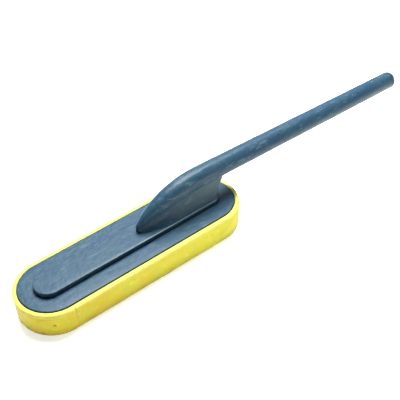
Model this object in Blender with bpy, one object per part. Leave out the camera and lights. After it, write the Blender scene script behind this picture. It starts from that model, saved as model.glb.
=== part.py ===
"""Long-handled squeegee applicator: a blue moulded handle screwed to a blue backing plate, which snaps
into a soft yellow shoe. Run it with blender --background --python part.py, or from the text editor.

Frame, in metres: origin at the centre of the sole's flat face, +X along the head towards the grip's
end, +Z up from the sole to the handle. The object is symmetrical about the plane Y = 0.
"""

import math

import bmesh
import bpy
from mathutils import Matrix, Vector

# Driving dimensions of the head
HEAD_LENGTH = 0.200
HEAD_WIDTH = 0.060
SHOE_HEIGHT = 0.0227
RIM_WIDTH = 0.0043
END_RIM_WIDTH = 0.0037  # the rim is a little thinner round the head's two ends
SHOE_DRAFT = 0.0008  # the shoe's side leans in this much from the rim down to the sole
GAP = 0.0003  # modelling gap between pieces that touch
SEAT_GAP = 0.0005  # open gap between the plate's edge and the rim

# Layers of the head, from the sole up
SOLE_THICKNESS = 0.0040
CUSHION_THICKNESS = 0.0116
BOND_THICKNESS = 0.0008
PLATE_THICKNESS = 0.0060
FOOT_THICKNESS = 0.0040

# Worked out from the head's dimensions
SHOE_RADIUS = HEAD_WIDTH / 2
HEAD_STRAIGHT = HEAD_LENGTH / 2 - SHOE_RADIUS  # half of the straight side
PLATE_RADIUS = SHOE_RADIUS - RIM_WIDTH - SEAT_GAP
PLATE_STRAIGHT = HEAD_STRAIGHT + RIM_WIDTH - END_RIM_WIDTH
CUSHION_BOTTOM = SOLE_THICKNESS + GAP
BOND_BOTTOM = CUSHION_BOTTOM + CUSHION_THICKNESS + GAP
PLATE_BOTTOM = BOND_BOTTOM + BOND_THICKNESS + GAP
PLATE_TOP = PLATE_BOTTOM + PLATE_THICKNESS
FOOT_BOTTOM = PLATE_TOP + GAP
FOOT_TOP = FOOT_BOTTOM + FOOT_THICKNESS

# Shoe and plate details
LEDGE_WIDTH = 0.0012  # the plate's edge sits on this ledge of the shoe
TONGUE_REACH = 0.0013  # the plate's snap-in edge
TONGUE_HEIGHT = 0.0018
SHOE_TOP_ROUND = 0.0016
SHOE_BOTTOM_ROUND = 0.0010
PLATE_ROUND = 0.0005
CAVITY_RADIUS = PLATE_RADIUS - LEDGE_WIDTH
BOND_INSET = 0.0010  # from the foam's edge to the bond sheet's
ARC_STEPS = 20  # straight pieces in each half-round end

# Handle: foot, fin and grip in one moulding
FOOT_RADIUS = 0.0115
FOOT_STRAIGHT = 0.0725
FOOT_ROUND = 0.0006
GRIP_DROOP = math.radians(2.2)  # the grip's axis falls this much towards its end
GRIP_START = Vector((0.069, 0.0, PLATE_TOP + 0.0262))  # where the root's bend meets the straight grip
GRIP_END_X = 0.2835
GRIP_START_RADIUS = 0.0084
GRIP_END_RADIUS = 0.0075
BEND_RADIUS = 0.108
NOSE_X = 0.0085
NOSE_RADIUS = 0.0022
NOSE_SWELL = 3.0  # how fast the root thickens behind the nose
ROOT_SPACING = 1.4  # above 1, the root's stations are closer together at the nose
GRIP_SIDES = 24
BEND_STEPS = 16
GRIP_STEPS = 6

# Fin between the foot and the grip
PROW_X = 0.0064
PROW_HALF_WIDTH = 0.0012
BOW_LENGTH = 0.026  # from the prow to the fin's full width, at the foot
SHORTEST_BOW = 0.004  # where the root cuts the bow off
FIN_BASE_HALF_WIDTH = 0.0108
FIN_WAIST_SHARE = 0.90  # waist half-width as a share of the root's radius above it
FIN_FLARE = 2.4  # how quickly the flare above the foot dies out
FIN_REAR_X = 0.0834
FIN_REAR_LEAN = 0.0062  # how far the rear edge leans back where it meets the grip
FIN_LEAN_CURVE = 1.6  # above 1, the rear edge leans back mostly near the grip
FIN_SINK = 0.0008  # the fin starts this far inside the foot
FIN_TOP_SINK = 0.0012  # and ends this far below the grip's axis
FIN_LEVELS = 10
FIN_LEVEL_SPACING = 1.3  # above 1, the levels are closer together at the foot
BOW_STEPS = 12

# Stiffening rod and the plug that closes its bore
CORE_RADIUS = 0.0030
CORE_START = 0.004  # along the grip's axis, from GRIP_START
PLUG_SPIGOT_LENGTH = 0.011
PLUG_SPIGOT_RADIUS = CORE_RADIUS - 0.0004
PLUG_BARBS = 2
BARB_FRONT = 0.0008
BARB_BACK = 0.0014
PLUG_DOME_HEIGHT = 0.0066
PLUG_DOME_STEPS = 7
TURNED_STEPS = 24

# Fasteners, along the foot's centre line
FRONT_SCREWS_X = (-0.072, -0.043, -0.014)
REAR_SCREWS_X = (0.020, 0.045, 0.070)
FRONT_SCREW_REACH = 0.0024  # into the foot
REAR_SCREW_REACH = 0.0100
SCREW_RADIUS = 0.0019
SCREW_HEAD_RADIUS = 0.0038
SCREW_HEAD_HEIGHT = 0.0022
SCREW_POINT_RADIUS = 0.0006
SCREW_POINT_LENGTH = 0.0018
HEAD_EDGE = ((1.0, 0.45), (0.92, 0.73), (0.72, 1.0))  # shares of the head's radius and height
WASHER_RADIUS = 0.0045
WASHER_THICKNESS = 0.0008
COUNTERBORE_RADIUS = 0.0050
COUNTERBORE_DEPTH = SCREW_HEAD_HEIGHT + WASHER_THICKNESS + 2 * GAP
RECESS_WIDTH = 0.0009
RECESS_LENGTH = 0.0040
RECESS_DEPTH = 0.0012
SCREW_STEPS = 16
OVERSHOOT = 0.001  # how far a cutter runs past the face it opens
SHARP_ANGLE = math.radians(35)  # edges sharper than this stay crisp

# Finish: colour, roughness, metallic
BLUE = ((0.085, 0.190, 0.285, 1.0), 0.45, 0.0)
YELLOW = ((0.850, 0.720, 0.060, 1.0), 0.55, 0.0)
FOAM_GREY = ((0.200, 0.200, 0.210, 1.0), 0.90, 0.0)
BOND_WHITE = ((0.750, 0.740, 0.700, 1.0), 0.60, 0.0)
ZINC = ((0.620, 0.630, 0.650, 1.0), 0.30, 1.0)
STEEL = ((0.450, 0.460, 0.480, 1.0), 0.35, 1.0)


def clear_scene():
    for obj in list(bpy.data.objects):
        bpy.data.objects.remove(obj)


def new_collection(name, rendered=True):
    collection = bpy.data.collections.new(name)
    bpy.context.scene.collection.children.link(collection)
    collection.hide_render = not rendered
    return collection


def material(name, finish):
    colour, roughness, metallic = finish
    made = bpy.data.materials.new(name)
    made.use_nodes = True
    shader = made.node_tree.nodes["Principled BSDF"]
    shader.inputs["Base Color"].default_value = colour
    shader.inputs["Roughness"].default_value = roughness
    shader.inputs["Metallic"].default_value = metallic
    made.diffuse_color = colour
    return made


def coat(mesh, finish):
    mesh.materials.append(finish)
    mesh.shade_smooth()
    mesh.set_sharp_from_angle(angle=SHARP_ANGLE)


def add_object(name, mesh, collection, finish=None):
    obj = bpy.data.objects.new(name, mesh)
    collection.objects.link(obj)
    if finish:
        coat(mesh, finish)
    return obj


def mesh_from(name, bm):
    """The bmesh as a mesh, with its faces pointing out."""
    bm.normal_update()
    bmesh.ops.recalc_face_normals(bm, faces=bm.faces)
    mesh = bpy.data.meshes.new(name)
    bm.to_mesh(mesh)
    bm.free()
    return mesh


def obround_points(straight, radius):
    """Outline of a slot shape along X: two half-round ends, straight in between."""
    points = []
    for side in (1, -1):
        for i in range(ARC_STEPS + 1):
            angle = -math.pi / 2 + math.pi * i / ARC_STEPS
            x, y = radius * math.cos(angle), radius * math.sin(angle)
            points.append((side * (straight + x), side * y))
    return points


def obround_slab(name, straight, radius, bottom, top, round_top=0.0, round_bottom=0.0, draft=0.0):
    """A flat obround body with rounded edges. It is narrower at the bottom by the draft."""
    bm = bmesh.new()
    outlines = [(obround_points(straight, radius - draft), bottom), (obround_points(straight, radius), top)]
    low, high = [[bm.verts.new((x, y, z)) for x, y in points] for points, z in outlines]
    bm.faces.new(low)
    bm.faces.new(high)
    for i in range(len(low)):
        j = (i + 1) % len(low)
        bm.faces.new((low[i], low[j], high[j], high[i]))
    bmesh.ops.recalc_face_normals(bm, faces=bm.faces)
    for height, width in ((top, round_top), (bottom, round_bottom)):
        rim = [e for e in bm.edges if all(abs(v.co.z - height) < 1e-7 for v in e.verts)]
        if width:
            bmesh.ops.bevel(bm, geom=rim, offset=width, segments=2, affect="EDGES", profile=0.5)
    return mesh_from(name, bm)


def cylinder(name, radius, start, end, steps=TURNED_STEPS):
    """A closed cylinder from one point to another."""
    start, end = Vector(start), Vector(end)
    bm = bmesh.new()
    bmesh.ops.create_cone(
        bm, cap_ends=True, segments=steps, radius1=radius, radius2=radius, depth=(end - start).length
    )
    turn = (end - start).to_track_quat("Z", "Y").to_matrix().to_4x4()
    bm.transform(Matrix.Translation((start + end) / 2) @ turn)
    return mesh_from(name, bm)


def turned(name, profile, steps=TURNED_STEPS):
    """A solid of revolution about Z, from (radius, height) points that run from the top down."""
    bm = bmesh.new()
    verts = [bm.verts.new((radius, 0, height)) for radius, height in profile]
    edges = [bm.edges.new(pair) for pair in zip(verts, verts[1:])]
    bmesh.ops.spin(
        bm, geom=verts + edges, cent=(0, 0, 0), axis=(0, 0, 1), angle=2 * math.pi, steps=steps, use_merge=True
    )
    bmesh.ops.remove_doubles(bm, verts=bm.verts, dist=1e-6)
    return mesh_from(name, bm)


def boolean(obj, other, operation):
    """Applies a Boolean of one mesh object with another, and removes the other."""
    modifier = obj.modifiers.new(operation.lower(), "BOOLEAN")
    modifier.operation = operation
    modifier.object = other
    modifier.solver = "EXACT"
    bpy.context.view_layer.update()
    evaluated = obj.evaluated_get(bpy.context.evaluated_depsgraph_get())
    result = bpy.data.meshes.new_from_object(evaluated)
    obj.modifiers.remove(modifier)
    obj.data = result
    bpy.data.objects.remove(other)


def cut(obj, mesh, cutters):
    boolean(obj, add_object(mesh.name, mesh, cutters), "DIFFERENCE")


def grip_direction():
    return Vector((math.cos(GRIP_DROOP), 0, -math.sin(GRIP_DROOP)))


def grip_point(distance):
    """A point on the straight grip's axis, at a distance from its start."""
    return GRIP_START + grip_direction() * distance


def grip_length():
    return (GRIP_END_X - GRIP_START.x) / math.cos(GRIP_DROOP)


def root_stations():
    """(centre, radius) along the root's bend, from the nose up to the straight grip."""
    lift = Vector((math.sin(GRIP_DROOP), 0, math.cos(GRIP_DROOP)))
    bend_centre = GRIP_START - lift * BEND_RADIUS
    nose_angle = math.asin((bend_centre.x - NOSE_X) / BEND_RADIUS)
    stations = []
    for i in range(BEND_STEPS):
        share = (i / BEND_STEPS) ** ROOT_SPACING  # 0 at the nose, 1 at the grip
        angle = nose_angle * (1 - share) - GRIP_DROOP * share
        centre = bend_centre + BEND_RADIUS * Vector((-math.sin(angle), 0, math.cos(angle)))
        swell = 1 - (1 - share) ** NOSE_SWELL
        stations.append((centre, NOSE_RADIUS + (GRIP_START_RADIUS - NOSE_RADIUS) * swell))
    return stations


def grip_stations():
    length = grip_length()
    stations = []
    for i in range(GRIP_STEPS + 1):
        share = i / GRIP_STEPS
        radius = GRIP_START_RADIUS + (GRIP_END_RADIUS - GRIP_START_RADIUS) * share
        stations.append((grip_point(length * share), radius))
    return stations


def grip_tube(collection):
    """The grip and its bent root: a curve with a bevel, tapered by each point's radius."""
    curve = bpy.data.curves.new("grip_line", "CURVE")
    curve.dimensions = "3D"
    curve.bevel_depth = 1.0
    curve.bevel_resolution = (GRIP_SIDES - 4) // 2  # a round bevel has 4 + 2 x resolution sides
    curve.use_fill_caps = True
    stations = root_stations() + grip_stations()
    spline = curve.splines.new("POLY")
    spline.points.add(len(stations) - 1)
    for point, (centre, radius) in zip(spline.points, stations):
        point.co = (*centre, 1.0)
        point.radius = radius
    tube = bpy.data.objects.new("grip_line", curve)
    collection.objects.link(tube)
    bpy.context.view_layer.update()
    evaluated = tube.evaluated_get(bpy.context.evaluated_depsgraph_get())
    mesh = bpy.data.meshes.new_from_object(evaluated)
    bpy.data.objects.remove(tube)
    bm = bmesh.new()
    bm.from_mesh(mesh)
    bmesh.ops.remove_doubles(bm, verts=bm.verts, dist=1e-5)
    return mesh_from("grip", bm)


def root_place(value, axis):
    """(x, z, radius) of the root's centre line where its X or Z has a value, held at the ends."""
    stations = [(centre.x, centre.z, radius) for centre, radius in root_stations()]
    stations.append((GRIP_START.x, GRIP_START.z, GRIP_START_RADIUS))
    for low, high in zip(stations, stations[1:]):
        if low[axis] <= value <= high[axis]:
            share = (value - low[axis]) / (high[axis] - low[axis])
            return tuple(a + share * (b - a) for a, b in zip(low, high))
    return stations[0] if value < stations[0][axis] else stations[-1]


def fin_half_width(x, z):
    """Half the fin's width: the foot's bow at the bottom, drawn in to the waist under the root."""
    _, root_z, root_radius = root_place(x, 0)
    bow = min(1.0, max(0.0, x - PROW_X) / BOW_LENGTH)
    base = PROW_HALF_WIDTH + (FIN_BASE_HALF_WIDTH - PROW_HALF_WIDTH) * math.sqrt(bow)
    waist = min(base, FIN_WAIST_SHARE * root_radius)
    climb = min(1.0, max(0.0, z - FOOT_TOP) / (root_z - FOOT_TOP))
    return waist + (base - waist) * (1 - climb) ** FIN_FLARE


def fin_level(z):
    """Outline of the fin at a height: from the prow along +Y to the rear, and back along -Y."""
    prow = PROW_X if z < root_stations()[0][0].z else root_place(z, 1)[0]
    full = PROW_X + BOW_LENGTH
    climb = min(1.0, max(0.0, z - FOOT_TOP) / (GRIP_START.z - GRIP_START_RADIUS - FOOT_TOP))
    rear = FIN_REAR_X + FIN_REAR_LEAN * climb**FIN_LEAN_CURVE
    rear_width = fin_half_width(FIN_REAR_X, z)
    half = [(prow, 0.0)]
    for i in range(BOW_STEPS + 1):
        x = prow + (max(full, prow + SHORTEST_BOW) - prow) * (i / BOW_STEPS) ** 2
        half.append((x, fin_half_width(x, z)))
    for i in range(BOW_STEPS + 1):
        angle = math.pi / 2 * i / BOW_STEPS
        half.append((rear - rear_width * (1 - math.sin(angle)), rear_width * math.cos(angle)))
    half[-1] = (rear, 0.0)
    return half + [(x, -y) for x, y in reversed(half[1:-1])]


def fin_body():
    """The fin: a loft of boat-shaped outlines, broad at the foot and drawn in under the root."""
    climb = GRIP_START.z - FIN_TOP_SINK - FOOT_TOP
    levels = [FOOT_TOP - FIN_SINK]
    levels += [FOOT_TOP + climb * (i / (FIN_LEVELS - 1)) ** FIN_LEVEL_SPACING for i in range(FIN_LEVELS)]
    bm = bmesh.new()
    rings = [[bm.verts.new((x, y, z)) for x, y in fin_level(z)] for z in levels]
    for low, high in zip(rings, rings[1:]):
        for i in range(len(low)):
            j = (i + 1) % len(low)
            bm.faces.new((low[i], low[j], high[j], high[i]))
    bm.faces.new(rings[0])
    bm.faces.new(rings[-1])
    return mesh_from("fin", bm)


def screw_places():
    """(x, reach into the foot) of each screw, from the front."""
    places = [(x, FRONT_SCREW_REACH) for x in FRONT_SCREWS_X]
    return places + [(x, REAR_SCREW_REACH) for x in REAR_SCREWS_X]


def make_handle(collection, cutters, finish):
    foot = obround_slab(
        "handle_body", FOOT_STRAIGHT, FOOT_RADIUS, FOOT_BOTTOM, FOOT_TOP, round_top=FOOT_ROUND
    )
    handle = add_object("handle_body", foot, collection)
    boolean(handle, add_object("fin", fin_body(), cutters), "UNION")
    boolean(handle, add_object("grip", grip_tube(cutters), cutters), "UNION")
    bore_start = grip_point(CORE_START - GAP)
    bore_end = grip_point(grip_length() + OVERSHOOT)
    cut(handle, cylinder("bore", CORE_RADIUS + GAP, bore_start, bore_end), cutters)
    for x, reach in screw_places():
        low, high = (x, 0, FOOT_BOTTOM - OVERSHOOT), (x, 0, FOOT_BOTTOM + reach + 2 * GAP)
        cut(handle, cylinder("pilot", SCREW_RADIUS + GAP, low, high, SCREW_STEPS), cutters)
    coat(handle.data, finish)


def make_core(collection, finish):
    end = grip_length() - PLUG_SPIGOT_LENGTH - 2 * GAP
    core = cylinder("core_rod", CORE_RADIUS, grip_point(CORE_START), grip_point(end))
    add_object("core_rod", core, collection, finish)


def make_plug(collection, finish):
    """The domed end plug: a spigot with barbs in the bore, and a cap as wide as the grip."""
    angles = [math.pi / 2 * i / PLUG_DOME_STEPS for i in range(PLUG_DOME_STEPS + 1)]
    profile = [(GRIP_END_RADIUS * math.sin(a), PLUG_DOME_HEIGHT * math.cos(a)) for a in angles]
    profile.append((PLUG_SPIGOT_RADIUS, 0.0))
    pitch = PLUG_SPIGOT_LENGTH / (PLUG_BARBS + 1)
    for barb in range(1, PLUG_BARBS + 1):
        profile.append((PLUG_SPIGOT_RADIUS, -pitch * barb + BARB_FRONT))
        profile.append((CORE_RADIUS, -pitch * barb))
        profile.append((PLUG_SPIGOT_RADIUS, -pitch * barb - BARB_BACK))
    profile += [(PLUG_SPIGOT_RADIUS, -PLUG_SPIGOT_LENGTH), (0.0, -PLUG_SPIGOT_LENGTH)]
    plug = add_object("end_plug", turned("end_plug", profile), collection, finish)
    plug.location = grip_point(grip_length() + GAP)
    plug.rotation_euler = grip_direction().to_track_quat("Z", "Y").to_euler()


def make_plate(collection, cutters, finish):
    """Backing plate: a snap-in tongue round its edge, and a counterbored hole for each screw."""
    slab = obround_slab(
        "backing_plate", PLATE_STRAIGHT, PLATE_RADIUS, PLATE_BOTTOM, PLATE_TOP, PLATE_ROUND, PLATE_ROUND
    )
    plate = add_object("backing_plate", slab, collection)
    middle = (PLATE_BOTTOM + PLATE_TOP) / 2
    half = TONGUE_HEIGHT / 2
    reach = PLATE_RADIUS + TONGUE_REACH
    tongue = obround_slab("tongue", PLATE_STRAIGHT, reach, middle - half, middle + half)
    boolean(plate, add_object("tongue", tongue, cutters), "UNION")
    for x, _ in screw_places():
        below, above = (x, 0, PLATE_BOTTOM - OVERSHOOT), (x, 0, PLATE_TOP + OVERSHOOT)
        floor = (x, 0, PLATE_BOTTOM + COUNTERBORE_DEPTH)
        cut(plate, cylinder("hole", SCREW_RADIUS + GAP, below, above, SCREW_STEPS), cutters)
        cut(plate, cylinder("counterbore", COUNTERBORE_RADIUS, below, floor, SCREW_STEPS), cutters)
    coat(plate.data, finish)


def make_shoe(collection, cutters, finish):
    """The soft shoe: a tray with a ledge that the plate sits on and a groove for the plate's tongue."""
    block = obround_slab(
        "shoe", HEAD_STRAIGHT, SHOE_RADIUS, 0.0, SHOE_HEIGHT, SHOE_TOP_ROUND, SHOE_BOTTOM_ROUND, SHOE_DRAFT
    )
    shoe = add_object("shoe", block, collection)
    cut(shoe, obround_slab("cavity", PLATE_STRAIGHT, CAVITY_RADIUS, SOLE_THICKNESS, PLATE_BOTTOM), cutters)
    seat_radius, top = PLATE_RADIUS + SEAT_GAP, SHOE_HEIGHT + OVERSHOOT
    cut(shoe, obround_slab("seat", PLATE_STRAIGHT, seat_radius, PLATE_BOTTOM - GAP, top), cutters)
    middle = (PLATE_BOTTOM + PLATE_TOP) / 2
    half = TONGUE_HEIGHT / 2 + GAP
    groove_radius = PLATE_RADIUS + TONGUE_REACH + GAP
    cut(shoe, obround_slab("groove", PLATE_STRAIGHT, groove_radius, middle - half, middle + half), cutters)
    coat(shoe.data, finish)


def make_cushion(collection, foam, bond):
    radius = CAVITY_RADIUS - GAP
    top = CUSHION_BOTTOM + CUSHION_THICKNESS
    cushion = obround_slab("cushion_core", PLATE_STRAIGHT, radius, CUSHION_BOTTOM, top)
    add_object("cushion_core", cushion, collection, foam)
    top = BOND_BOTTOM + BOND_THICKNESS
    sheet = obround_slab("bond_sheet", PLATE_STRAIGHT, radius - BOND_INSET, BOND_BOTTOM, top)
    add_object("bond_sheet", sheet, collection, bond)


def screw_mesh(name, length):
    """A pan-head screw with its head down and its point up, bearing face at Z = 0, cross-recessed."""
    profile = [
        (0.0, length),
        (SCREW_POINT_RADIUS, length),
        (SCREW_RADIUS, length - SCREW_POINT_LENGTH),
        (SCREW_RADIUS, 0.0),
        (SCREW_HEAD_RADIUS, 0.0),
    ]
    profile += [(share * SCREW_HEAD_RADIUS, -drop * SCREW_HEAD_HEIGHT) for share, drop in HEAD_EDGE]
    profile.append((0.0, -SCREW_HEAD_HEIGHT))
    return turned(name, profile, SCREW_STEPS)


def make_screws(collection, cutters, finish):
    seat = PLATE_BOTTOM + COUNTERBORE_DEPTH - WASHER_THICKNESS - 2 * GAP
    for number, (x, reach) in enumerate(screw_places(), 1):
        name = f"foot_screw_{number}"
        screw = add_object(name, screw_mesh(name, FOOT_BOTTOM + reach - seat), collection)
        for angle in (0.0, math.pi / 2):
            bm = bmesh.new()
            bmesh.ops.create_cube(bm, size=1.0)
            size = Matrix.Diagonal((RECESS_LENGTH, RECESS_WIDTH, 2 * RECESS_DEPTH, 1))
            bm.transform(
                Matrix.Translation((0, 0, -SCREW_HEAD_HEIGHT)) @ Matrix.Rotation(angle, 4, "Z") @ size
            )
            cut(screw, mesh_from("recess", bm), cutters)
        screw.location = (x, 0, seat)
        coat(screw.data, finish)


def make_washers(collection, finish):
    bottom = PLATE_BOTTOM + COUNTERBORE_DEPTH - WASHER_THICKNESS - GAP
    hole = SCREW_RADIUS + GAP
    profile = [
        (WASHER_RADIUS, WASHER_THICKNESS),
        (WASHER_RADIUS, 0.0),
        (hole, 0.0),
        (hole, WASHER_THICKNESS),
        (WASHER_RADIUS, WASHER_THICKNESS),
    ]
    for number, (x, _) in enumerate(screw_places(), 1):
        name = f"washer_{number}"
        washer = add_object(name, turned(name, profile, SCREW_STEPS), collection, finish)
        washer.location = (x, 0, bottom)


def main():
    clear_scene()
    parts = new_collection("squeegee_applicator")
    cutters = new_collection("cutters", rendered=False)
    blue = material("blue_moulding", BLUE)
    make_handle(parts, cutters, blue)
    make_plug(parts, blue)
    make_core(parts, material("bright_steel", STEEL))
    make_plate(parts, cutters, blue)
    make_shoe(parts, cutters, material("yellow_rubber", YELLOW))
    make_cushion(parts, material("grey_foam", FOAM_GREY), material("bond_film", BOND_WHITE))
    zinc = material("zinc_steel", ZINC)
    make_screws(parts, cutters, zinc)
    make_washers(parts, zinc)


main()
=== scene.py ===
"""Looks of the squeegee applicator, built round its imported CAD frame.

Frame, in metres: origin at the centre of the sole, +X along the head towards the grip's end, +Z up.
The blue moulding, its plug, the backing plate, the yellow shoe, the foam and the fasteners each get a
fine mesh or a detailed material. Every piece rides on the one body, "root".
"""

import math
from itertools import product

import bmesh
import bpy
import numpy as np
from mathutils import Matrix, Vector

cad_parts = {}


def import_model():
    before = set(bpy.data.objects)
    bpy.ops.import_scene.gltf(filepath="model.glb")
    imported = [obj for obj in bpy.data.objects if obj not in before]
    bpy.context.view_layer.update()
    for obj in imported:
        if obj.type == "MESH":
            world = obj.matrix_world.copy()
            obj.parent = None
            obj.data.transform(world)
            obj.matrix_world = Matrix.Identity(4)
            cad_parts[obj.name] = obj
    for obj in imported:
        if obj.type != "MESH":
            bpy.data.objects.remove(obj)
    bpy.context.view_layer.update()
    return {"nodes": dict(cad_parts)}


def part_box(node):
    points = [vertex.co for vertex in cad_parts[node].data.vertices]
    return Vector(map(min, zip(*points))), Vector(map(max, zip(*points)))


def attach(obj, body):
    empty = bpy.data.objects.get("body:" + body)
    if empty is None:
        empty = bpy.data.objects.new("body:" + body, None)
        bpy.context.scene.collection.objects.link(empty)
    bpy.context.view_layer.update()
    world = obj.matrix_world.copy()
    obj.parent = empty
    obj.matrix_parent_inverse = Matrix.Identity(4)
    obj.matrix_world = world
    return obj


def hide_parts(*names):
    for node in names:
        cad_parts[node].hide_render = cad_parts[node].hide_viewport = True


MM = 0.001

# Camera, at the photograph's viewing angle
CAMERA_PLACE = Vector((-0.2269, -0.38906, 0.4749))
CAMERA_AZIMUTH = math.radians(-37.13)  # 0 looks along +Y
CAMERA_ELEVATION = math.radians(42.72)
CAMERA_ROLL = math.radians(-2.28)
CAMERA_LENS = 74.84
CAMERA_SENSOR = 36.0

# Lights: where each one stands, its two sides in metres and its power in watts
LIGHT_TARGET = (0.08, 0.0, 0.02)
KEY_PLACE = (0.36, 0.36, 1.25)
KEY_SIZE = (0.75, 0.75)
KEY_POWER = 46.5
BACK_PLACE = (0.75, 1.0, 0.95)
BACK_SIZE = (1.0, 0.7)
BACK_POWER = 3.0
CARD_PLACE = (0.50, -0.75, 0.14)
CARD_SIZE = (0.8, 0.24)
CARD_POWER = 0.3
CARD_COLOUR = (0.97, 1.0, 0.86)
WORLD_COLOUR = (0.90, 0.95, 1.0, 1.0)
WORLD_LEVEL = 0.03
TABLE_GLOW = 0.66
FLOOR_REACH = 30.0  # far enough for low views
FLOOR_DROP = 0.2 * MM  # keeps the floor's face clear of the sole

# Colours, as linear red, green and blue
BLUE_DEEP = (0.015, 0.056, 0.108)
BLUE_GREEN = (0.022, 0.070, 0.104)
BLUE_MOTTLE = (0.045, 0.105, 0.155)
BLUE_MARKS = (0.125, 0.205, 0.235)
# Painted highlight along the foot's upper edge
BLUE_EDGE_HIGHLIGHT = (0.220, 0.310, 0.350)
# Painted bounce light on the fin's web
BLUE_WEB_BOUNCE_LIGHT = (0.075, 0.140, 0.150)
BLUE_SPECKS = (0.55, 0.68, 0.74)
YELLOW_FRONT = (0.590, 0.450, 0.007)
YELLOW_REAR = (0.670, 0.620, 0.022)
YELLOW_GREEN = (0.500, 0.530, 0.016)
YELLOW_PALE = (0.850, 0.810, 0.120)
# Painted highlight on the rim's top
YELLOW_RIM_HIGHLIGHT = (0.800, 0.790, 0.170)
# Darker patches towards the sole
YELLOW_LOW_DARK = (0.260, 0.230, 0.040)
YELLOW_PORES = (0.200, 0.160, 0.030)
YELLOW_SEAM = (0.300, 0.200, 0.006)
YELLOW_LINE = (0.340, 0.240, 0.010)
YELLOW_PITS = (0.160, 0.090, 0.008)
FOAM_DARK = (0.170, 0.170, 0.180)
FOAM_LIGHT = (0.240, 0.240, 0.245)
FOAM_CELLS = (0.060, 0.060, 0.065)
FILM_LIGHT = (0.760, 0.740, 0.680)
FILM_DARK = (0.640, 0.620, 0.560)
ZINC_BRIGHT = (0.620, 0.640, 0.670)
ZINC_DULL = (0.520, 0.530, 0.520)
STEEL_DARK = (0.420, 0.430, 0.450)
STEEL_LIGHT = (0.560, 0.570, 0.580)
STEEL_STAINS = (0.250, 0.220, 0.200)

# Handle: the root's bend, the straight grip and the fin, as in the CAD part
GRIP_DROOP = math.radians(2.2)
GRIP_START_X = 69.0 * MM
GRIP_START_HEIGHT = 26.2 * MM  # above the plate
GRIP_START_RADIUS = 8.4 * MM
GRIP_END_RADIUS = 7.5 * MM
GRIP_END_X = 283.5 * MM
BEND_RADIUS = 108.0 * MM
NOSE_X = 8.5 * MM
NOSE_RADIUS = 2.2 * MM
NOSE_SWELL = 3.0  # how fast the root thickens behind the nose
PROW_X = 6.4 * MM
PROW_HALF_WIDTH = 1.2 * MM
BOW_LENGTH = 26.0 * MM  # from the prow to the fin's full width, at the foot
FIN_BASE_HALF_WIDTH = 10.5 * MM
FIN_WAIST_SHARE = 0.78  # waist half-width as a share of the root's radius above it
FIN_FLARE = 2.4  # how quickly the flare above the foot dies out
FIN_FILLET = 0.6 * MM  # between the fin and the foot
FIN_REAR_X = 83.2 * MM
FIN_REAR_LEAN = 6.2 * MM  # how far the rear edge leans back where it meets the grip
REAR_LEAN_CURVE = 1.6  # above 1, the rear edge leans back mostly near the grip
FIN_SINK = 0.8 * MM  # the fin starts this far inside the foot
ROOT_BLEND = 0.6 * MM  # size of the fillet between the fin and the root
SIDE_FLAT = 0.93  # the root's sides are flattened to this share of its radius
FLAT_FADE = 20.0 * MM  # the flats run out over this length, at the fin's rear
FLAT_BLEND = 0.5 * MM
FLAT_LIFT = 1.2  # above 1, the flats have lifted clear of the tube before the end of their run-out
ROOT_RIPPLE = 0.07 * MM  # unevenness of the root, and the length of its waves
ROOT_WAVE = 6.0 * MM
RIPPLE_DROP = 0.3 * MM  # the root's waves turn about a line this far below its own
GRIP_RIPPLE = 0.09 * MM  # the same for the grip
GRIP_WAVE = 7.0 * MM
FOOT_THICKNESS = 4.0 * MM
FOOT_ROUND = 0.7 * MM
HANDLE_STEP = 0.55 * MM  # mesh size of the handle's surface
TRIM_LENGTH = 30.0 * MM  # size of the cutter that trims the grip's end
GRIP_OVERRUN = 3.0 * MM  # extra grip, before its end is cut flat
TUBE_INSET = 0.1 * MM  # keeps the uneven grip inside the CAD solid

# Holes in the handle
BORE_RADIUS = 3.3 * MM
BORE_START = 4.0 * MM
BORE_OVERRUN = 5.0 * MM  # the cutter runs this far out of the grip's end
PILOT_RADIUS = 2.2 * MM
SCREWS = 6  # in one row, from front to rear
FRONT_SCREWS = 3  # those in front of the fin
FRONT_SCREW_REACH = 3.0 * MM
REAR_SCREW_REACH = 10.6 * MM

# Shoe's section
RIM_OUTER_ROUND = 2.1 * MM
RIM_INNER_ROUND = 0.7 * MM
SOLE_ROUND = 1.3 * MM
SHOE_DRAFT = 0.8 * MM
SHOE_INSET = 0.25 * MM  # keeps the uneven wall inside the CAD solid
OUTER_FROM = 27.6 * MM  # offsets beyond this are on the shoe's outer wall
SOLE_THICKNESS = 4.0 * MM
GAP = 0.3 * MM
SEAT_GAP = 0.5 * MM  # open gap between the plate's edge and the rim
TONGUE_REACH = 1.3 * MM
TONGUE_HEIGHT = 1.8 * MM
PLATE_ROUND = 0.6 * MM
PATH_STEP = 0.5 * MM  # mesh size along the head's outline
WALL_ROWS = 26
LONG_WAVES = 0.17 * MM  # unevenness of the shoe's outer wall, and its lengths along and up the wall
LONG_WAVE_SIZE = (7.0 * MM, 5.0 * MM)
SHORT_WAVES = 0.07 * MM
SHORT_WAVE_SIZE = (2.6 * MM, 2.2 * MM)
SIDE_FROM = 28.0 * MM  # beyond this y the waves run along x, and elsewhere round the head's middle
ROUND_SCALE = 60.0 * MM  # turns that angle into a length
TONGUE_ROUND = 0.4 * MM
COUNTERBORE_RADIUS = 5.0 * MM
COUNTERBORE_DEPTH = 3.6 * MM
FOAM_INSET = 0.2 * MM
FOAM_CORNER = 1.6 * MM

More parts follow.
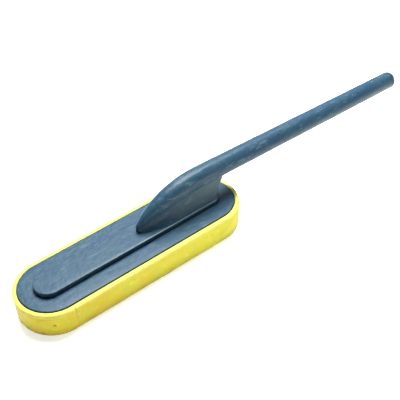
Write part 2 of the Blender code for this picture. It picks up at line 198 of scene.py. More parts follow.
# Marks on the shoe's side: (x, y, z, radius, depth) of each small pit, and an upright seam
PITS = (
    (-85.0 * MM, -25.5 * MM, 12.1 * MM, 1.6 * MM, 0.6 * MM),
    (-92.7 * MM, -19.0 * MM, 3.2 * MM, 1.5 * MM, 0.5 * MM),
    (72.9 * MM, -29.5 * MM, 4.0 * MM, 0.9 * MM, 0.5 * MM),
)
SEAM_X = -68.5 * MM
SEAM_WIDTH = 0.6 * MM
SEAM_DEPTH = 0.25 * MM
SEAM_SIDE = (-24.0 * MM, -22.0 * MM)  # y where its colour fades out, on the -Y side
SEAM_RISE = (5.0 * MM, 18.0 * MM)  # heights between which it grows darker
SEAM_BEND = 0.6 * MM  # how far its groove wanders sideways
SEAM_BEND_LENGTH = 5.0 * MM

# Painted highlight on the rim's top: heights where the pale tint grows
RIM_HIGHLIGHT_RISE = (19.5 * MM, 22.2 * MM)

# Faint line round the front end, below the rim
LINE_HEIGHT = 18.8 * MM
LINE_WIDTH = 0.5 * MM
LINE_DEPTH = 0.15 * MM
LINE_REACH = (-88.0 * MM, -82.0 * MM)

# Heights between which the mottled marks grow stronger
MOTTLED_RISE = (30.0 * MM, 44.0 * MM)

# Painted bounce light on the fin's web, a paler, greener tint: heights where it fades in and out, and x
# where it grows
WEB_BOUNCE_RISE = (29.0 * MM, 37.0 * MM)
WEB_BOUNCE_FALL = (42.0 * MM, 47.0 * MM)
WEB_BOUNCE_REACH = (30.0 * MM, 75.0 * MM)

# Painted highlight on the foot's upper edge, a pale line on the -Y side only: its y, its height, and x where
# it grows
EDGE_HIGHLIGHT_SIDE = (-10.5 * MM, -10.9 * MM)
EDGE_HIGHLIGHT_RISE = (26.9 * MM, 27.2 * MM)
EDGE_HIGHLIGHT_REACH = (-60.0 * MM, 20.0 * MM)


# --- small helpers ------------------------------------------------------------------------------------


def add_object(name, mesh):
    obj = bpy.data.objects.new(name, mesh)
    bpy.context.scene.collection.objects.link(obj)
    return obj


def mesh_from(name, points, faces):
    mesh = bpy.data.meshes.new(name)
    mesh.from_pydata([tuple(p) for p in points], [], faces)
    bm = bmesh.new()
    bm.from_mesh(mesh)
    bmesh.ops.remove_doubles(bm, verts=bm.verts, dist=1e-6)
    bmesh.ops.recalc_face_normals(bm, faces=bm.faces)
    bm.to_mesh(mesh)
    bm.free()
    return mesh


def smooth(obj, sharp_degrees=40):
    obj.data.shade_smooth()
    obj.data.set_sharp_from_angle(angle=math.radians(sharp_degrees))


def boolean(obj, other, operation):
    """Applies a Boolean of two closed meshes, and removes the second."""
    modifier = obj.modifiers.new(operation.lower(), "BOOLEAN")
    modifier.operation = operation
    modifier.object = other
    modifier.solver = "MANIFOLD"
    bpy.context.view_layer.update()
    evaluated = obj.evaluated_get(bpy.context.evaluated_depsgraph_get())
    result = bpy.data.meshes.new_from_object(evaluated)
    obj.modifiers.remove(modifier)
    obj.data = result
    bpy.data.objects.remove(other)


def cylinder(radius, start, end, steps=48):
    bm = bmesh.new()
    span = end - start
    bmesh.ops.create_cone(
        bm, cap_ends=True, segments=steps, radius1=radius, radius2=radius, depth=span.length
    )
    turn = span.to_track_quat("Z", "Y").to_matrix().to_4x4()
    bm.transform(Matrix.Translation((start + end) / 2) @ turn)
    mesh = bpy.data.meshes.new("cutter")
    bm.to_mesh(mesh)
    bm.free()
    return add_object("cutter", mesh)


def ripple(*phases):
    """A smooth, fixed unevenness between about -1 and 1, from sums of waves."""
    waves = ((1.0, 0.0, 0.45), (1.9, 1.3, 0.3), (3.1, 4.1, 0.25))
    return sum(
        share * np.prod([np.sin(p * pitch + shift * (i + 1)) for i, p in enumerate(phases)], axis=0)
        for pitch, shift, share in waves
    )


# --- camera, lights and floor ---------------------------------------------------------------------------


def make_camera():
    data = bpy.data.cameras.new("camera")
    data.lens = CAMERA_LENS
    data.sensor_width = CAMERA_SENSOR
    data.clip_start = 0.01
    camera = bpy.data.objects.new("camera", data)
    bpy.context.scene.collection.objects.link(camera)
    flat = math.cos(CAMERA_ELEVATION)
    back = Vector((
        math.sin(CAMERA_AZIMUTH) * flat, -math.cos(CAMERA_AZIMUTH) * flat, math.sin(CAMERA_ELEVATION)
    ))
    turn = (-back).to_track_quat("-Z", "Y").to_matrix() @ Matrix.Rotation(CAMERA_ROLL, 3, "Z")
    camera.matrix_world = Matrix.Translation(CAMERA_PLACE) @ turn.to_4x4()
    bpy.context.scene.camera = camera


def area_light(name, place, size, power, colour=(1.0, 1.0, 1.0)):
    data = bpy.data.lights.new(name, "AREA")
    data.shape = "RECTANGLE"
    data.size, data.size_y = size
    data.energy = power
    data.color = colour
    light = bpy.data.objects.new(name, data)
    bpy.context.scene.collection.objects.link(light)
    light.location = place
    aim = Vector(LIGHT_TARGET) - Vector(place)
    light.rotation_euler = aim.to_track_quat("-Z", "Y").to_euler()


def make_lights():
    area_light("key_softbox", KEY_PLACE, KEY_SIZE, KEY_POWER)
    area_light("back_softbox", BACK_PLACE, BACK_SIZE, BACK_POWER)
    area_light("front_card", CARD_PLACE, CARD_SIZE, CARD_POWER, CARD_COLOUR)
    world = bpy.data.worlds.new("studio")
    bpy.context.scene.world = world
    world.use_nodes = True
    background = world.node_tree.nodes["Background"]
    background.inputs["Color"].default_value = WORLD_COLOUR
    background.inputs["Strength"].default_value = WORLD_LEVEL
    bpy.context.scene.view_settings.view_transform = "Standard"


def make_floor():
    """A white light table: it glows a little, so shadows on it stay faint."""
    bm = bmesh.new()
    bmesh.ops.create_grid(bm, x_segments=8, y_segments=8, size=FLOOR_REACH)
    mesh = bpy.data.meshes.new("floor")
    bm.to_mesh(mesh)
    bm.free()
    floor = add_object("floor", mesh)
    floor.location.z = -FLOOR_DROP
    table = bpy.data.materials.new("light_table")
    table.use_nodes = True
    shader = table.node_tree.nodes["Principled BSDF"]
    shader.inputs["Base Color"].default_value = (0.85, 0.85, 0.85, 1.0)
    shader.inputs["Roughness"].default_value = 0.9
    shader.inputs["Emission Color"].default_value = (1.0, 1.0, 1.0, 1.0)
    shader.inputs["Emission Strength"].default_value = TABLE_GLOW
    mesh.materials.append(table)


# --- materials ------------------------------------------------------------------------------------------


def new_material(name, roughness, metallic=0.0):
    """A material with its node tree, its shader, and object coordinates in metres."""
    made = bpy.data.materials.new(name)
    made.use_nodes = True
    tree = made.node_tree
    shader = tree.nodes["Principled BSDF"]
    shader.inputs["Roughness"].default_value = roughness
    shader.inputs["Metallic"].default_value = metallic
    coords = tree.nodes.new("ShaderNodeTexCoord").outputs["Object"]
    return made, tree, shader, coords


def stretched(tree, coords, scale):
    node = tree.nodes.new("ShaderNodeMapping")
    node.inputs["Scale"].default_value = scale
    tree.links.new(coords, node.inputs["Vector"])
    return node.outputs["Vector"]


def noise(tree, coords, size, detail=3.0, rough=0.5):
    """Noise between 0 and 1 whose patches are about this size in metres."""
    node = tree.nodes.new("ShaderNodeTexNoise")
    node.inputs["Scale"].default_value = 1.0 / size
    node.inputs["Detail"].default_value = detail
    node.inputs["Roughness"].default_value = rough
    tree.links.new(coords, node.inputs["Vector"])
    return node.outputs["Fac"]


def dots(tree, coords, size):
    """Distance to the nearest of many scattered points, in cells of this size."""
    node = tree.nodes.new("ShaderNodeTexVoronoi")
    node.inputs["Scale"].default_value = 1.0 / size
    tree.links.new(coords, node.inputs["Vector"])
    return node.outputs["Distance"]


def between(tree, value, low, high, to_low=0.0, to_high=1.0):
    """Maps a value's range onto another one, and holds it at the ends."""
    node = tree.nodes.new("ShaderNodeMapRange")
    node.inputs["From Min"].default_value = low
    node.inputs["From Max"].default_value = high
    node.inputs["To Min"].default_value = to_low
    node.inputs["To Max"].default_value = to_high
    tree.links.new(value, node.inputs["Value"])
    return node.outputs["Result"]


def maths(tree, operation, first, second):
    node = tree.nodes.new("ShaderNodeMath")
    node.operation = operation
    for socket, value in zip(node.inputs, (first, second)):
        if isinstance(value, (int, float)):
            socket.default_value = value
        else:
            tree.links.new(value, socket)
    return node.outputs["Value"]


def mixed(tree, factor, first, second):
    """Mixes two colours; each is an (r, g, b) or another node's colour."""
    node = tree.nodes.new("ShaderNodeMix")
    node.data_type = "RGBA"
    tree.links.new(factor, node.inputs["Factor"])
    for socket, value in ((node.inputs[6], first), (node.inputs[7], second)):
        if isinstance(value, tuple):
            socket.default_value = (*value, 1.0)
        else:
            tree.links.new(value, socket)
    return node.outputs[2]


def bumped(tree, shader, *layers):
    """Stacks bump layers of (height, depth in metres) and joins them to the shader."""
    normal = None
    for height, depth in layers:
        node = tree.nodes.new("ShaderNodeBump")
        node.inputs["Distance"].default_value = depth
        tree.links.new(height, node.inputs["Height"])
        if normal:
            tree.links.new(normal, node.inputs["Normal"])
        normal = node.outputs["Normal"]
    tree.links.new(normal, shader.inputs["Normal"])


def parted(tree, coords):
    node = tree.nodes.new("ShaderNodeSeparateXYZ")
    tree.links.new(coords, node.inputs["Vector"])
    return node.outputs["X"], node.outputs["Y"], node.outputs["Z"]


def spot(tree, coords, place, radius):
    """1 at a place, falling to 0 at this radius from it."""
    node = tree.nodes.new("ShaderNodeVectorMath")
    node.operation = "DISTANCE"
    node.inputs[1].default_value = place
    tree.links.new(coords, node.inputs[0])
    return between(tree, node.outputs["Value"], 0.35 * radius, radius, 1.0, 0.0)


def blue_plastic(name, specks):
    """Semi-matte blue moulding: mottled, orange peel, specks, a painted edge highlight and painted bounce
    light on the web.
    """
    made, tree, shader, coords = new_material(name, 0.52)
    shader.inputs["Specular IOR Level"].default_value = 0.22
    shader.inputs["Coat Weight"].default_value = 0.12
    shader.inputs["Coat Roughness"].default_value = 0.20
    colour = mixed(tree, between(tree, noise(tree, coords, 0.022, 4), 0.35, 0.7),
                   BLUE_DEEP, BLUE_GREEN)
    mottle = between(tree, noise(tree, coords, 0.0022, 3), 0.45, 0.75, 0.0, 0.35)
    colour = mixed(tree, mottle, colour, BLUE_MOTTLE)
    marks = noise(tree, stretched(tree, coords, (0.25, 1.0, 1.0)), 0.0030, 5, 0.65)
    along, across, height = parted(tree, coords)
    mottled = maths(tree, "MULTIPLY", between(tree, marks, 0.56, 0.74),
                    between(tree, height, *MOTTLED_RISE, 0.5, 0.9))
    colour = mixed(tree, mottled, colour, BLUE_MARKS)
    # Painted highlight: a pale line along the foot's upper edge, on the -Y side only
    edge = maths(tree, "MULTIPLY", between(tree, across, *EDGE_HIGHLIGHT_SIDE), between(tree, height, *EDGE_HIGHLIGHT_RISE))
    edge = maths(tree, "MULTIPLY", edge, between(tree, height, *WEB_BOUNCE_RISE, 1.0, 0.0))
    edge = maths(tree, "MULTIPLY", edge, between(tree, along, *EDGE_HIGHLIGHT_REACH, 0.15, 0.75))
    colour = mixed(tree, edge, colour, BLUE_EDGE_HIGHLIGHT)
    # Painted bounce light: a paler, greener tint on the fin's web
    web = maths(tree, "MULTIPLY", between(tree, height, *WEB_BOUNCE_RISE),
                between(tree, height, *WEB_BOUNCE_FALL, 1.0, 0.0))
    web = maths(tree, "MULTIPLY", web, between(tree, along, *WEB_BOUNCE_REACH, 0.0, 0.7))
    colour = mixed(tree, web, colour, BLUE_WEB_BOUNCE_LIGHT)
    dust = maths(tree, "MULTIPLY", between(tree, dots(tree, coords, 0.0055), 0.05, 0.085, 1.0, 0.0),
                 between(tree, noise(tree, coords, 0.012, 2), 0.5, 0.56, 0.0, specks))
    colour = mixed(tree, dust, colour, BLUE_SPECKS)
    tree.links.new(colour, shader.inputs["Base Color"])
    tree.links.new(between(tree, marks, 0.3, 0.8, 0.46, 0.60), shader.inputs["Roughness"])
    bumped(tree, shader,
           (noise(tree, coords, 0.0050, 2), 0.00075),
           (noise(tree, coords, 0.0011, 2), 0.00007))
    return made


def yellow_elastomer(name):
    """Soft yellow elastomer: uneven tint, painted highlight on the rim's top, fine grain, pores, darker
    patches towards the sole.
    """
    made, tree, shader, coords = new_material(name, 0.58)
    shader.inputs["Specular IOR Level"].default_value = 0.30
    along, across, height = parted(tree, coords)
    drift = maths(tree, "ADD", maths(tree, "MULTIPLY", along, 4.0), noise(tree, coords, 0.018, 4))
    colour = mixed(tree, between(tree, drift, 0.10, 0.85), YELLOW_FRONT, YELLOW_REAR)
    green = between(tree, noise(tree, coords, 0.0085, 4, 0.6), 0.48, 0.70, 0.0, 0.80)
    colour = mixed(tree, green, colour, YELLOW_GREEN)
    pale = between(tree, noise(tree, coords, 0.0060, 3), 0.60, 0.75, 0.0, 0.5)
    colour = mixed(tree, pale, colour, YELLOW_PALE)
    # Painted highlight: the rim's top grows paler
    top = between(tree, height, *RIM_HIGHLIGHT_RISE, 0.0, 0.75)
    colour = mixed(tree, top, colour, YELLOW_RIM_HIGHLIGHT)
    # Darker in patches towards the sole
    low_dark = maths(tree, "MULTIPLY", between(tree, height, 0.0002, 0.0050, 1.0, 0.0),
                  between(tree, noise(tree, coords, 0.0045, 5, 0.7), 0.40, 0.70))
    colour = mixed(tree, maths(tree, "MULTIPLY", low_dark, 0.75), colour, YELLOW_LOW_DARK)
    pores = maths(tree, "MULTIPLY", between(tree, dots(tree, coords, 0.0070), 0.045, 0.085, 1.0, 0.0),
                  between(tree, noise(tree, coords, 0.015, 2), 0.52, 0.60))
    colour = mixed(tree, maths(tree, "MULTIPLY", pores, 0.85), colour, YELLOW_PORES)
    seam = maths(tree, "ABSOLUTE", maths(tree, "SUBTRACT", along, SEAM_X), 0.0)
    seam = maths(tree, "MULTIPLY", between(tree, seam, 0.1 * SEAM_WIDTH, 1.4 * SEAM_WIDTH, 0.5, 0.0),
                 between(tree, across, *SEAM_SIDE, 1.0, 0.0))
    seam = maths(tree, "MULTIPLY", seam, between(tree, height, *SEAM_RISE, 0.35, 1.0))
    colour = mixed(tree, seam, colour, YELLOW_SEAM)
    line = maths(tree, "ABSOLUTE", maths(tree, "SUBTRACT", height, LINE_HEIGHT), 0.0)
    line = maths(tree, "MULTIPLY", between(tree, line, 0.2 * LINE_WIDTH, LINE_WIDTH, 0.45, 0.0),
                 between(tree, along, *LINE_REACH, 1.0, 0.0))
    colour = mixed(tree, line, colour, YELLOW_LINE)
    for x, y, z, radius, _ in PITS:
        colour = mixed(tree, spot(tree, coords, (x, y, z), radius), colour, YELLOW_PITS)
    tree.links.new(colour, shader.inputs["Base Color"])
    tree.links.new(between(tree, noise(tree, coords, 0.0040, 3), 0.3, 0.7, 0.50, 0.66),
                   shader.inputs["Roughness"])
    bumped(tree, shader,
           (noise(tree, coords, 0.0045, 3), 0.0009),
           (noise(tree, coords, 0.0007, 3), 0.00008),
           (maths(tree, "MULTIPLY", pores, -1.0), 0.0003))
    return made


def grey_foam(name):
    """Closed-cell foam: small cells and a dusty grey tint."""
    made, tree, shader, coords = new_material(name, 0.92)
    cells = dots(tree, coords, 0.0011)
    colour = mixed(tree, between(tree, noise(tree, coords, 0.010, 3), 0.3, 0.7),
                   FOAM_DARK, FOAM_LIGHT)
    colour = mixed(tree, between(tree, cells, 0.0, 0.35, 0.7, 0.0), colour, FOAM_CELLS)
    tree.links.new(colour, shader.inputs["Base Color"])
    bumped(tree, shader, (cells, 0.0004))
    return made


def bond_film(name):
    """Milky adhesive sheet with faint clouding and a slight tacky sheen."""
    made, tree, shader, coords = new_material(name, 0.5)
    colour = mixed(tree, between(tree, noise(tree, coords, 0.008, 4), 0.35, 0.7),
                   FILM_LIGHT, FILM_DARK)
    tree.links.new(colour, shader.inputs["Base Color"])
    tree.links.new(between(tree, noise(tree, coords, 0.002, 3), 0.3, 0.7, 0.35, 0.6),
                   shader.inputs["Roughness"])
    bumped(tree, shader, (noise(tree, coords, 0.0015, 2), 0.0001))
    return made


def zinc_plate(name):
    """Bright zinc plating: soft clouding and a fine grain in its polish."""
    made, tree, shader, coords = new_material(name, 0.3, 1.0)
    colour = mixed(tree, between(tree, noise(tree, coords, 0.0020, 4), 0.35, 0.7),
                   ZINC_BRIGHT, ZINC_DULL)
    tree.links.new(colour, shader.inputs["Base Color"])
    tree.links.new(between(tree, noise(tree, coords, 0.0006, 4), 0.3, 0.7, 0.22, 0.42),
                   shader.inputs["Roughness"])
    bumped(tree, shader, (noise(tree, coords, 0.0003, 2), 0.00001))
    return made


def drawn_steel(name):
    """Drawn bar: long fine streaks along X, with a few darker oxide stains."""
    made, tree, shader, coords = new_material(name, 0.35, 1.0)
    streaks = noise(tree, stretched(tree, coords, (0.02, 1.0, 1.0)), 0.0004, 4)
    colour = mixed(tree, between(tree, streaks, 0.3, 0.7), STEEL_DARK, STEEL_LIGHT)
    stains = between(tree, noise(tree, coords, 0.006, 5), 0.60, 0.75, 0.0, 0.6)
    colour = mixed(tree, stains, colour, STEEL_STAINS)
    tree.links.new(colour, shader.inputs["Base Color"])
    tree.links.new(between(tree, streaks, 0.3, 0.7, 0.28, 0.48), shader.inputs["Roughness"])
    bumped(tree, shader, (streaks, 0.00002))
    return made


# --- the head: pieces swept round the obround outline ------------------------------------------------------


def arc(centre, radius, start, end, steps):
    """(offset, height) points on part of a circle; the angles are in degrees."""
    angles = [math.radians(start + (end - start) * i / steps) for i in range(steps + 1)]
    return [(centre[0] + radius * math.cos(a), centre[1] + radius * math.sin(a)) for a in angles]


def path_frames(straight, radius):
    """(centre x as a share of the straight half, normal x, normal y) of places round an obround."""
    side_steps = round(2 * straight / PATH_STEP)
    end_steps = round(math.pi * radius / PATH_STEP)
    frames = []
    for side in (1, -1):
        for i in range(side_steps):
            frames.append((side * (2 * i / side_steps - 1), 0.0, -side))
        for i in range(end_steps):
            angle = -math.pi / 2 + math.pi * i / end_steps
            frames.append((side, side * math.cos(angle), side * math.sin(angle)))
    return np.array(frames)


def swept(name, sections, unevenness=None):
    """A closed solid: half sections of (offset, height) points, from the middle below round to the
    middle above, each swept round an obround with its own straight half-length."""
    rows = [(*point, straight) for profile, straight in sections for point in profile]
    frames = path_frames(sections[0][1], max(offset for offset, _, _ in rows))
    rings = []
    for offset, height, straight in rows:
        ring = np.empty((len(frames), 3))
        ring[:, 0] = frames[:, 0] * straight + offset * frames[:, 1]
        ring[:, 1] = offset * frames[:, 2]
        ring[:, 2] = height
        if unevenness is not None:
            shift = unevenness(ring, offset)
            ring[:, 0] += shift * frames[:, 1]
            ring[:, 1] += shift * frames[:, 2]
        rings.append(ring)
    count = len(frames)
    faces = []
    for row in range(len(rings) - 1):
        first = row * count
        for i in range(count):
            j = (i + 1) % count
            faces.append((first + i, first + j, first + count + j, first + count + i))
    return add_object(name, mesh_from(name, np.concatenate(rings), faces))


def wall_unevenness(ring, offset):
    """Soft waves, pits, the seam and the line on the shoe's outer wall; nothing on its inside."""
    x, y, z = ring.T
    if offset < OUTER_FROM:
        return np.zeros(len(x))
    along = np.where(np.abs(y) > SIDE_FROM, x, np.arctan2(y, x) * ROUND_SCALE)
    length, rise = LONG_WAVE_SIZE
    shift = LONG_WAVES * ripple(along / length, z / rise + 1)
    length, rise = SHORT_WAVE_SIZE
    shift += SHORT_WAVES * ripple(along / length + 2, z / rise)
    for px, py, pz, radius, depth in PITS:
        distance = (x - px) ** 2 + (y - py) ** 2 + (z - pz) ** 2
        shift -= depth * np.exp(-distance / (0.5 * radius) ** 2)
    near = (y < 0) & (np.abs(x - SEAM_X) < 4 * SEAM_WIDTH)
    bend = SEAM_X + SEAM_BEND * np.sin(z / SEAM_BEND_LENGTH)
    shift -= np.where(near, SEAM_DEPTH * np.exp(-(((x - bend) / (0.5 * SEAM_WIDTH)) ** 2)), 0.0)
    line = np.exp(-(((z - LINE_HEIGHT) / LINE_WIDTH) ** 2))
    return shift - LINE_DEPTH * line * np.interp(x, LINE_REACH, (1.0, 0.0))


def outer_wall(radius, low, high):
    """The shoe's sole and outer side, rounded below and above, leaning in towards the sole."""
    foot = radius - SHOE_DRAFT
    profile = [(share * foot, low) for share in (0.0, 0.25, 0.5, 0.75, 0.9)]
    profile += arc((foot - SOLE_ROUND, low + SOLE_ROUND), SOLE_ROUND, -90, -5, 6)
    start, end = low + SOLE_ROUND, high - RIM_OUTER_ROUND
    for i in range(1, WALL_ROWS):
        share = i / WALL_ROWS
        profile.append((foot + SHOE_DRAFT * share, start + (end - start) * share))
    return profile + arc((radius - RIM_OUTER_ROUND, end), RIM_OUTER_ROUND, 0, 90, 10)


def make_shoe(finish):
    low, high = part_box("shoe")
    plate_low, plate_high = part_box("backing_plate")
    inner = plate_high.y - TONGUE_REACH + SEAT_GAP
    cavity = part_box("cushion_core")[1].y + GAP
    middle = (plate_low.z + plate_high.z) / 2
    half = TONGUE_HEIGHT / 2 + GAP
    groove = plate_high.y + GAP
    ledge = plate_low.z - GAP
    inside = arc((inner + RIM_INNER_ROUND, high.z - RIM_INNER_ROUND), RIM_INNER_ROUND, 90, 180, 6)
    inside += [(inner, middle + half), (groove, middle + half), (groove, middle - half)]
    inside += [(inner, middle - half), (inner, ledge), (cavity, ledge), (cavity, SOLE_THICKNESS)]
    inside += [(share * cavity, SOLE_THICKNESS) for share in (0.66, 0.33, 0.0)]
    outside = outer_wall(high.y - SHOE_INSET, low.z, high.z)
    sections = ((outside, high.x - high.y), (inside, plate_high.x - plate_high.y))
    shoe = swept("yellow_shoe", sections, wall_unevenness)
    smooth(shoe, 50)
    shoe.data.materials.append(finish)
    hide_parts("shoe")
    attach(shoe, "root")


def screw_places():
    """x of each screw, from the frame, from front to rear."""
    boxes = [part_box(f"foot_screw_{number}") for number in range(1, SCREWS + 1)]
    return [(low.x + high.x) / 2 for low, high in boxes]


def make_plate(finish):
    low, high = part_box("backing_plate")
    straight = high.x - high.y
    radius = high.y - TONGUE_REACH
    middle = (low.z + high.z) / 2
    half = TONGUE_HEIGHT / 2
    profile = [(share * radius, low.z) for share in (0.0, 0.4, 0.8)]
    profile += arc((radius - PLATE_ROUND, low.z + PLATE_ROUND), PLATE_ROUND, -90, 0, 5)
    profile += [(radius, middle - half)]
    edge = radius + TONGUE_REACH - TONGUE_ROUND
    profile += arc((edge, middle - half + TONGUE_ROUND), TONGUE_ROUND, -90, 0, 3)
    profile += arc((edge, middle + half - TONGUE_ROUND), TONGUE_ROUND, 0, 90, 3)
    profile += [(radius, middle + half)]
    profile += arc((radius - PLATE_ROUND, high.z - PLATE_ROUND), PLATE_ROUND, 0, 90, 7)
    profile += [(share * radius, high.z) for share in (0.8, 0.6, 0.4, 0.2, 0.0)]
    plate = swept("blue_backing_plate", ((profile, straight),))
    for x in screw_places():
        top, base = Vector((x, 0, high.z + MM)), Vector((x, 0, low.z - MM))
        boolean(plate, cylinder(PILOT_RADIUS, base, top), "DIFFERENCE")
        floor = Vector((x, 0, low.z + COUNTERBORE_DEPTH))
        boolean(plate, cylinder(COUNTERBORE_RADIUS, base, floor), "DIFFERENCE")
    smooth(plate)
    plate.data.materials.clear()
    plate.data.materials.append(finish)
    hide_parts("backing_plate")
    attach(plate, "root")


def make_foam(finish):
    """The foam slab, pressed flat above and below, with its cut sides bulging a little."""
    low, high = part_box("cushion_core")
    straight = high.x - high.y
    radius = high.y - FOAM_INSET
    thickness = high.z - low.z
    corner = FOAM_CORNER
    profile = [(share * radius, low.z) for share in (0.0, 0.3, 0.6, 0.85)]
    profile += arc((radius - 1.3 * corner, low.z + corner), corner, -90, -20, 5)
    for i in range(1, 10):
        share = i / 10
        side = radius - 0.35 * corner + 0.25 * corner * math.sin(math.pi * share)
        profile.append((side, low.z + corner + (thickness - 2 * corner) * share))
    profile += arc((radius - 1.3 * corner, high.z - corner), corner, 20, 90, 5)
    profile += [(share * radius, high.z) for share in (0.85, 0.6, 0.3, 0.0)]
    foam = swept("foam_cushion", ((profile, straight),))
    smooth(foam)
    foam.data.materials.append(finish)
    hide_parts("cushion_core")
    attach(foam, "root")


# --- the handle --------------------------------------------------------------------------------------------


def smooth_union(first, second, size):
    """Joins two distance fields with a fillet of about this size."""
    share = np.clip(0.5 + 0.5 * (second - first) / size, 0, 1)
    return second * (1 - share) + first * share - size * share * (1 - share)


class Handle:
    """The handle's outer surface as fields that are negative inside it."""

    def __init__(self, plate_top, foot_bottom):
        self.foot_top = foot_bottom + FOOT_THICKNESS
        self.start = Vector((GRIP_START_X, 0, plate_top + GRIP_START_HEIGHT))
        lift = Vector((math.sin(GRIP_DROOP), 0, math.cos(GRIP_DROOP)))
        self.bend = self.start - lift * BEND_RADIUS
        self.nose_angle = math.asin((self.bend.x - NOSE_X) / BEND_RADIUS)
        self.length = (GRIP_END_X - GRIP_START_X) / math.cos(GRIP_DROOP)
        self.direction = Vector((math.cos(GRIP_DROOP), 0, -math.sin(GRIP_DROOP)))

    def root_radius(self, angle):
        share = (self.nose_angle - angle) / (self.nose_angle + GRIP_DROOP)
        swell = 1 - (1 - np.clip(share, 0, 1)) ** NOSE_SWELL
        return NOSE_RADIUS + (GRIP_START_RADIUS - NOSE_RADIUS) * swell - TUBE_INSET

    def tube(self, x, y, z):
        """The root's bend and the straight grip, which runs on past its end."""
        angle = np.clip(np.arctan2(self.bend.x - x, z - self.bend.z), -GRIP_DROOP, self.nose_angle)
        line_x = self.bend.x - BEND_RADIUS * np.sin(angle)
        line_z = self.bend.z + BEND_RADIUS * np.cos(angle)
        turn = np.arctan2(y, (z - line_z) + RIPPLE_DROP)
        waves = ROOT_RIPPLE * ripple(angle * BEND_RADIUS / ROOT_WAVE, turn * 1.5)
        root = np.sqrt((x - line_x) ** 2 + y**2 + (z - line_z) ** 2) - self.root_radius(angle) - waves
        along = (x - self.start.x) * self.direction.x + (z - self.start.z) * self.direction.z
        along = np.maximum(along, 0)
        line_x = self.start.x + along * self.direction.x
        line_z = self.start.z + along * self.direction.z
        radius = GRIP_START_RADIUS + (GRIP_END_RADIUS - GRIP_START_RADIUS) * along / self.length
        turn = np.arctan2(y, z - line_z)
        radius = radius - TUBE_INSET + GRIP_RIPPLE * ripple(along / GRIP_WAVE, 2 * turn)
        grip = np.sqrt((x - line_x) ** 2 + y**2 + (z - line_z) ** 2) - radius
        tube = np.minimum(root, grip)
        fade = np.clip((x - FIN_REAR_X + FLAT_FADE / 2) / FLAT_FADE, 0, 1)
        flat = self.root_radius(angle) * (SIDE_FLAT + (1 - SIDE_FLAT) * FLAT_LIFT * fade)
        return -smooth_union(-tube, flat - np.abs(y), FLAT_BLEND)

    def fin(self, x, y, z):
        """The boat-shaped web: broad at the foot, drawn in under the root, its rear edge leaning back."""
        angle = np.arcsin(np.clip((self.bend.x - x) / BEND_RADIUS, -math.sin(GRIP_DROOP), 1))
        angle = np.minimum(angle, self.nose_angle)
        root_z = self.bend.z + BEND_RADIUS * np.cos(angle)
        root_z = root_z - np.maximum(x - self.start.x, 0) * math.tan(GRIP_DROOP)
        bow = np.clip((x - PROW_X) / BOW_LENGTH, 0, 1)
        base = PROW_HALF_WIDTH + (FIN_BASE_HALF_WIDTH - PROW_HALF_WIDTH) * np.sqrt(bow)
        waist = np.minimum(base, FIN_WAIST_SHARE * self.root_radius(angle))
        height = np.clip(z - self.foot_top, 0, None)
        climb = np.clip(height / (root_z - self.foot_top), 0, 1)
        fillet = np.clip(FIN_FILLET - height, 0, FIN_FILLET * 0.85)
        fillet = FIN_FILLET - np.sqrt(FIN_FILLET**2 - fillet**2)
        width = waist + (base - waist) * (1 - climb) ** FIN_FLARE + fillet
        under = self.start.z - GRIP_START_RADIUS - self.foot_top
        rear = FIN_REAR_X + FIN_REAR_LEAN * np.clip(height / under, 0, 1) ** REAR_LEAN_CURVE + fillet
        side = np.hypot(np.maximum(x - (rear - width), 0), y) - width
        return np.maximum.reduce([side, PROW_X - x, z - root_z, self.foot_top - FIN_SINK - z])

    def __call__(self, x, y, z):
        joined = smooth_union(self.tube(x, y, z), self.fin(x, y, z), ROOT_BLEND)
        return np.maximum(joined, x - GRIP_END_X - GRIP_OVERRUN)


def gradient_of(field, points, step=0.02 * MM):
    shifts = step * np.eye(3)
    return np.stack([field(*(points + s).T) - field(*(points - s).T) for s in shifts], 1) / (2 * step)


def settle(field, points, step, rounds=4):
    """Moves points onto the surface where the field is zero."""
    for _ in range(rounds):
        slope = gradient_of(field, points)
        value = field(*points.T)
        move = slope * (value / np.maximum((slope**2).sum(1), 1e-6))[:, None]
        length = np.linalg.norm(move, axis=1, keepdims=True)
        points = points - move * np.minimum(1, 0.5 * step / np.maximum(length, 1e-12))
    return points


def surface_net(field, low, high, step):
    """Points and quads of the surface where a field over a box is zero."""
    axes = [np.arange(a, b, step) for a, b in zip(low, high)]
    inside = field(*np.meshgrid(*axes, indexing="ij")) < 0
    cells = tuple(n - 1 for n in inside.shape)
    corners = np.zeros(cells, int)
    for shift in product((0, 1), repeat=3):
        corners += inside[tuple(slice(s, s + n) for s, n in zip(shift, cells))]
    crossed = (corners > 0) & (corners < 8)
    number = np.full(cells, -1)
    number[crossed] = np.arange(crossed.sum())
    places = np.nonzero(crossed)
    points = np.stack([axes[d][places[d]] + step / 2 for d in range(3)], 1)
    quads = []
    for axis in range(3):
        u, v = np.eye(3, dtype=int)[(axis + 1) % 3], np.eye(3, dtype=int)[(axis + 2) % 3]
        first = np.delete(inside, -1, axis)
        edges = np.argwhere(first != np.delete(inside, 0, axis))
        around = [number[tuple((edges - shift).T)] for shift in (u + v, v, 0 * u, u)]
        quad = np.stack(around, 1)
        leaving = first[tuple(edges.T)]
        quads.append(np.where(leaving[:, None], quad, quad[:, ::-1]))
    return points, np.concatenate(quads)


def relaxed(points, quads):
    """Each point moved half-way to the middle of its neighbours."""
    total, count = np.zeros_like(points), np.zeros(len(points))
    for i in range(4):
        for j in (i - 1, (i + 1) % 4):
            np.add.at(total, quads[:, i], points[quads[:, j]])
            np.add.at(count, quads[:, i], 1)
    return 0.5 * points + 0.5 * total / count[:, None]


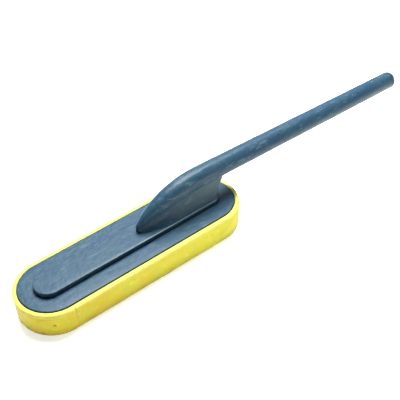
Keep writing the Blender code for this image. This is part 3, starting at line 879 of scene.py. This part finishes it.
def make_handle(finish):
    low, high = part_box("handle_body")
    handle = Handle(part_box("backing_plate")[1].z, low.z)
    margin = 2 * HANDLE_STEP
    box_low = (PROW_X - 2 * margin, -high.y - margin, handle.foot_top - MM - margin)
    box_high = (GRIP_END_X + GRIP_OVERRUN + margin, high.y + margin, high.z + margin)
    points, quads = surface_net(handle, box_low, box_high, HANDLE_STEP)
    points = settle(handle, points, HANDLE_STEP)
    for _ in range(3):
        points = settle(handle, relaxed(points, quads), HANDLE_STEP, rounds=2)
    upper = add_object("blue_handle", mesh_from("blue_handle", points, quads.tolist()))
    cut_holes(upper, handle, low)
    smooth(upper)
    upper.data.materials.clear()
    upper.data.materials.append(finish)
    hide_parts("handle_body")
    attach(upper, "root")


def foot_slab(low, high):
    """The raised foot, with a rounded upper edge."""
    straight, radius = -low.x - high.y, high.y
    top = low.z + FOOT_THICKNESS
    profile = [(share * radius, low.z) for share in (0.0, 0.5)] + [(radius, low.z)]
    profile += arc((radius - FOOT_ROUND, top - FOOT_ROUND), FOOT_ROUND, 0, 90, 7)
    profile += [(share * radius, top) for share in (0.66, 0.33, 0.0)]
    return swept("foot", ((profile, straight),))


def cut_holes(upper, handle, low):
    """Trims the grip's end, joins the foot, and cuts the bore and the screws' pilot holes."""
    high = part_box("handle_body")[1]
    ends = [handle.start + handle.direction * d for d in (handle.length, handle.length + TRIM_LENGTH)]
    boolean(upper, cylinder(TRIM_LENGTH, *ends), "DIFFERENCE")
    boolean(upper, foot_slab(low, high), "UNION")
    bore = [handle.start + handle.direction * d for d in (BORE_START, handle.length + BORE_OVERRUN)]
    boolean(upper, cylinder(BORE_RADIUS, *bore), "DIFFERENCE")
    for i, x in enumerate(screw_places()):
        reach = FRONT_SCREW_REACH if i < FRONT_SCREWS else REAR_SCREW_REACH
        base, top = Vector((x, 0, low.z - MM)), Vector((x, 0, low.z + reach))
        boolean(upper, cylinder(PILOT_RADIUS, base, top), "DIFFERENCE")


def main():
    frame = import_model()
    make_camera()
    make_lights()
    make_floor()
    blue = blue_plastic("blue_moulding", 0.35)
    make_shoe(yellow_elastomer("yellow_elastomer"))
    make_plate(blue)
    make_foam(grey_foam("closed_cell_foam"))
    make_handle(blue)
    finishes = {
        "end_plug": blue,
        "core_rod": drawn_steel("drawn_steel"),
        "bond_sheet": bond_film("bond_film"),
    }
    zinc = zinc_plate("zinc_plate")
    for number in range(1, SCREWS + 1):
        finishes[f"foot_screw_{number}"] = zinc
        finishes[f"washer_{number}"] = zinc
    for name, finish in finishes.items():
        node = frame["nodes"][name]
        node.data.materials.clear()
        node.data.materials.append(finish)


main()
